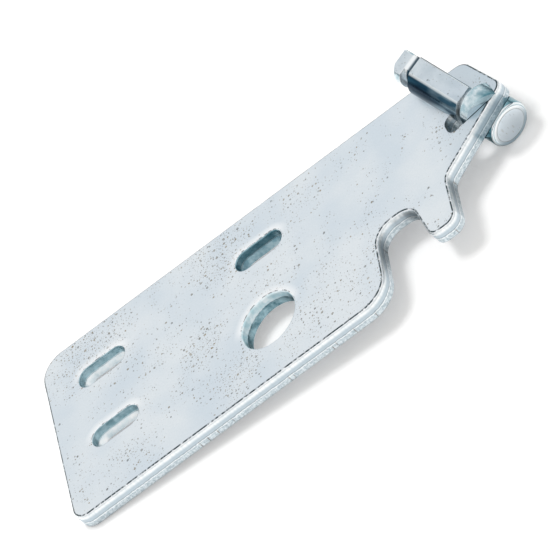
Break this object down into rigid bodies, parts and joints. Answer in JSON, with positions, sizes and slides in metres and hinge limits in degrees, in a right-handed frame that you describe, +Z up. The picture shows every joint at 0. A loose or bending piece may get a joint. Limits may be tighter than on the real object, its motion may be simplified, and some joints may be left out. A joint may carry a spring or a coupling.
{
  "type": "hinge plate",
  "caption": "Flat zinc-plated steel hinge plate with slotted fixing holes, a large round hole, a hooked notch and a stepped pin through its tip.",
  "frame": {"origin": "centre of the large round hole, on the plate's underside", "axes": "+X along the plate towards the pin, +Y across it towards the long straight edge, +Z up through the sheet, on the side where the pin's flattened body lies"},
  "size_m": [0.1276, 0.0574, 0.0174],
  "materials": {
    "zinc_plated_sheet": "bright zinc plated, blue passivated",
    "zinc_plated_bar": "bright zinc plated, polished by turning"
  },
  "bodies": {
    "root": {"hinge_plate": "zinc_plated_sheet", "hinge_pin": "zinc_plated_bar"}
  },
  "joints": []
}
